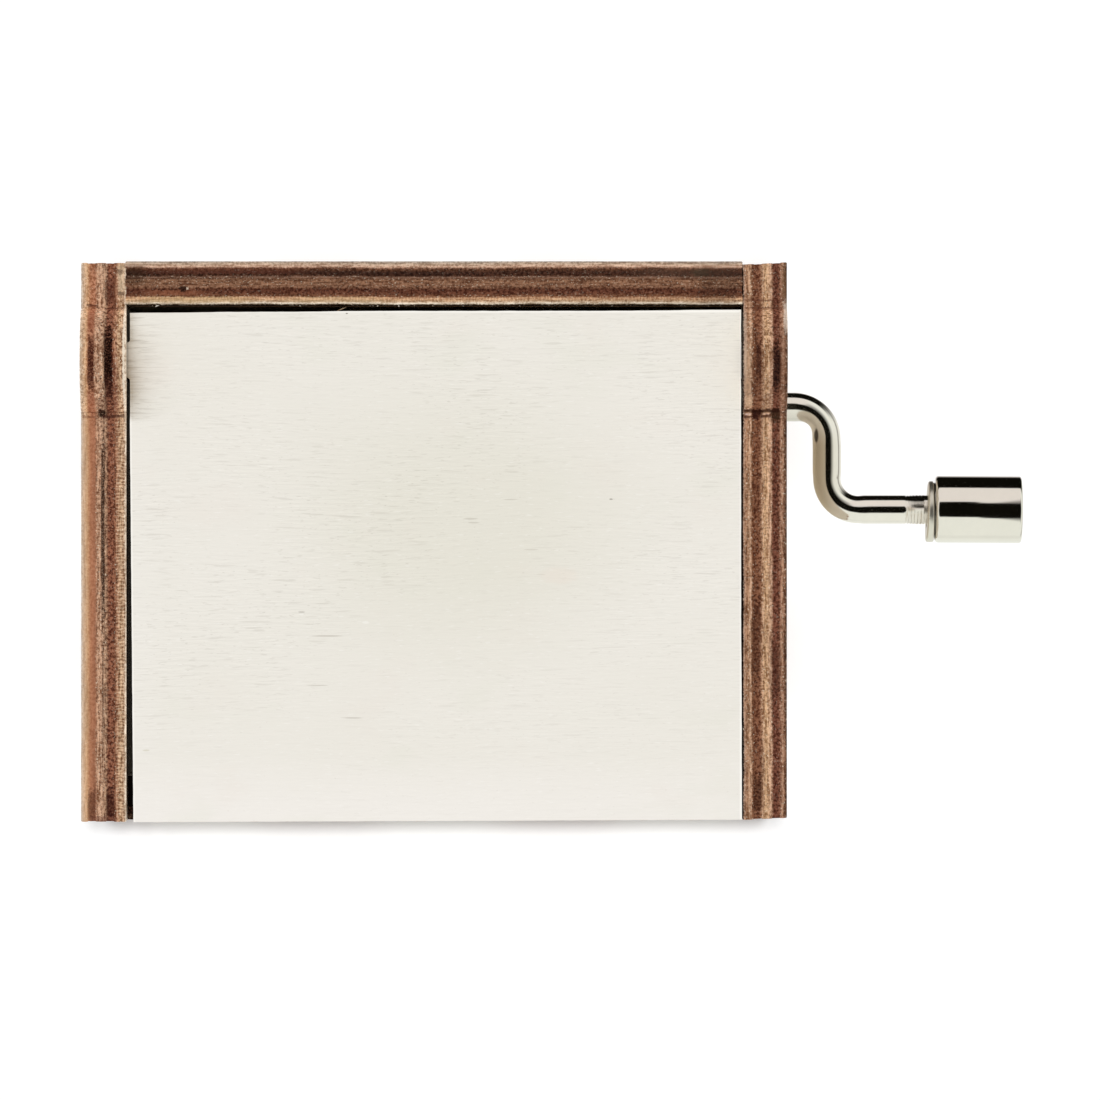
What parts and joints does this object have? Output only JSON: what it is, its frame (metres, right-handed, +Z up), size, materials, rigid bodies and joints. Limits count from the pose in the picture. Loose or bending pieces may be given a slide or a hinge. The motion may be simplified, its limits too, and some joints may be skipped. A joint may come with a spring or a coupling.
{
  "type": "music box",
  "caption": "Small plywood music box: a lid turns on two ears of its own sheet, and a bent wire crank drives a pinned drum past a steel comb through a worm and wheel.",
  "frame": {"origin": "centre of the case's underside", "axes": "+Z up through the lid, +X out of the side the crank leaves, +Y towards the lid's hinge"},
  "size_m": [0.0863, 0.0509, 0.0432],
  "materials": {
    "plywood": "white-washed faces, laser-browned five-ply edges",
    "plated_wire": "polished nickel plate",
    "spring_steel": "ground",
    "screw_steel": "zinc plated",
    "drum_metal": "turned, pale",
    "turned_brass": "turned",
    "casting": "bright plated die casting",
    "nylon": "natural",
    "lead": "dull"
  },
  "bodies": {
    "case": {"left_wall": "plywood", "right_wall": "plywood", "front_wall": "plywood", "back_wall": "plywood", "bottom_panel": "plywood", "comb": "spring_steel", "comb_screw_front": "screw_steel", "comb_screw_rear": "screw_steel", "plate_screw_left": "screw_steel", "plate_screw_right": "screw_steel", "mount_screw_1": "screw_steel", "mount_screw_2": "screw_steel", "mount_screw_3": "screw_steel", "bearing_plate": "screw_steel", "worm_bush": "turned_brass", "bedplate": "casting", "bass_weight_1": "lead", "bass_weight_2": "lead", "bass_weight_3": "lead", "bass_weight_4": "lead", "bass_weight_5": "lead", "bass_weight_6": "lead"},
    "lid": {"lid": "plywood"},
    "crank": {"worm_shaft": "turned_brass", "worm_clip": "screw_steel", "crank_arm": "plated_wire", "knob_washer": "plated_wire"},
    "knob": {"crank_knob": "plated_wire"},
    "drum": {"drum": "drum_metal", "drum_cap": "nylon", "drum_arbor": "screw_steel", "worm_wheel": "nylon"}
  },
  "joints": [
    {"name": "crank_spin", "type": "hinge", "parent": "case", "child": "crank", "pos_m": [0.032, 0.0126, 0.022], "axis": [1, 0, 0], "continuous": true},
    {"name": "knob_spin", "type": "hinge", "parent": "crank", "child": "knob", "pos_m": [0.0503, 0.00303, 0.022], "axis": [1, 0, 0], "continuous": true},
    {"name": "drum_spin", "type": "hinge", "parent": "case", "child": "drum", "pos_m": [0.007, 0, 0.0144], "axis": [0, 1, 0], "continuous": true},
    {"name": "lid_hinge", "type": "hinge", "parent": "case", "child": "lid", "pos_m": [0, 0.01648, 0.038], "axis": [-1, 0, 0], "range_deg": [0, 136]}
  ],
  "couplings": [
    {"joint": "drum_spin", "follows": "crank_spin", "ratio": -0.055556}
  ]
}
